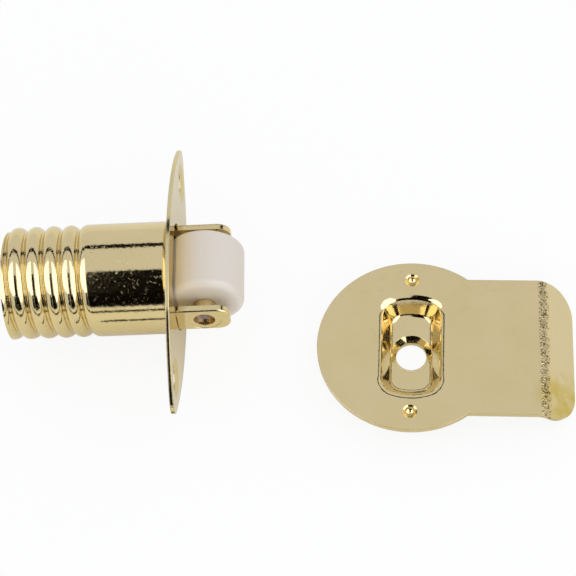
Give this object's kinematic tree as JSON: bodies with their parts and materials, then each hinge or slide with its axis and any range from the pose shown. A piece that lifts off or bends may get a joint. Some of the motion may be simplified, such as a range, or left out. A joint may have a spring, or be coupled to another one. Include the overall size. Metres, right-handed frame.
{
  "type": "roller catch",
  "caption": "Round mortise roller catch: threaded barrel, oval faceplate, sprung fork with nylon roller, and a pressed strike plate lying beside it.",
  "frame": {"origin": "on the barrel's axis at the faceplate's back face, which seats on the door's edge", "axes": "+X along the barrel's axis, out through the roller; +Y along the faceplate; +Z across the faceplate, away from the surface that the parts lie on"},
  "size_m": [0.0898, 0.0493, 0.023],
  "materials": {
    "brassed_steel": "bright brass plating on pressed steel",
    "nylon": "satin off-white nylon",
    "spring_steel": "drawn spring wire",
    "turned_brass": "turned brass"
  },
  "bodies": {
    "root": {"housing": "brassed_steel", "faceplate": "brassed_steel", "strike_plate": "brassed_steel"},
    "fork": {"fork": "brassed_steel", "axle_pin": "brassed_steel"},
    "roller": {"roller": "nylon"},
    "spring_seat": {"spring": "spring_steel"},
    "adjuster": {"adjuster_plug": "turned_brass"}
  },
  "joints": [
    {"name": "fork_slide", "type": "slide", "parent": "root", "child": "fork", "axis": [1, 0, 0], "range_m": [-0.008, 0], "stiffness_N_per_m": 800, "springref_m": 0.004, "deforming": ["spring"]},
    {"name": "roller_spin", "type": "hinge", "parent": "fork", "child": "roller", "pos_m": [0.0049, 0, 0], "axis": [0, 1, 0], "continuous": true},
    {"name": "plug_travel", "type": "slide", "parent": "root", "child": "spring_seat", "axis": [1, 0, 0], "range_m": [-0.00423, 0]},
    {"name": "plug_turn", "type": "hinge", "parent": "spring_seat", "child": "adjuster", "pos_m": [0, 0, 0], "axis": [1, 0, 0], "range_deg": [-541, 0]}
  ],
  "couplings": [
    {"joint": "plug_turn", "follows": "plug_travel", "rad_per_m": 2228.1}
  ]
}
